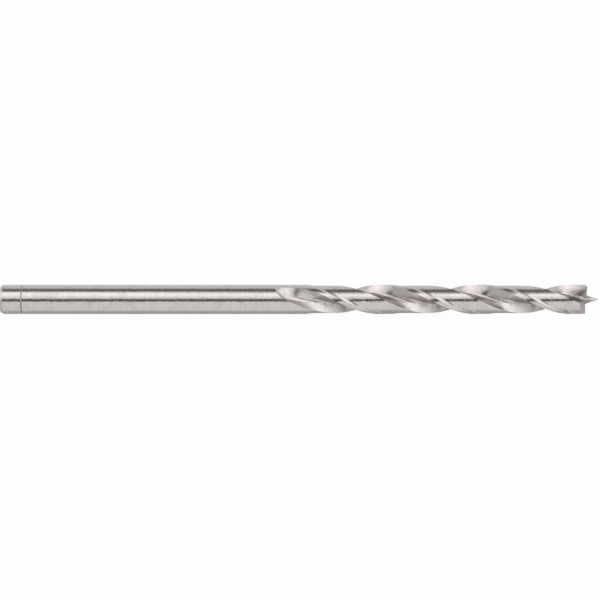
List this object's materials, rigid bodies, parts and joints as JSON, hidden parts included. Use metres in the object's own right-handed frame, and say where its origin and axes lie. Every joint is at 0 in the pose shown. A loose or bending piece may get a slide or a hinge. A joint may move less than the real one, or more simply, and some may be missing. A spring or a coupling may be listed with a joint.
{
  "type": "wood drill bit",
  "caption": "Straight-shank twist drill bit for wood, with right-hand spiral flutes, a conical centring spike and spurs at the ends of its cutting lips.",
  "frame": {"origin": "centre of the shank's flat back end", "axes": "+X along the bit's axis, from the shank's back end towards the spike; +Y is straight up in the picture and +Z points at its camera. The flutes turn right-handed about +X"},
  "size_m": [0.061, 0.003, 0.003],
  "materials": {
    "steel": "ground bright"
  },
  "bodies": {
    "root": {"drill_bit": "steel"}
  },
  "joints": []
}
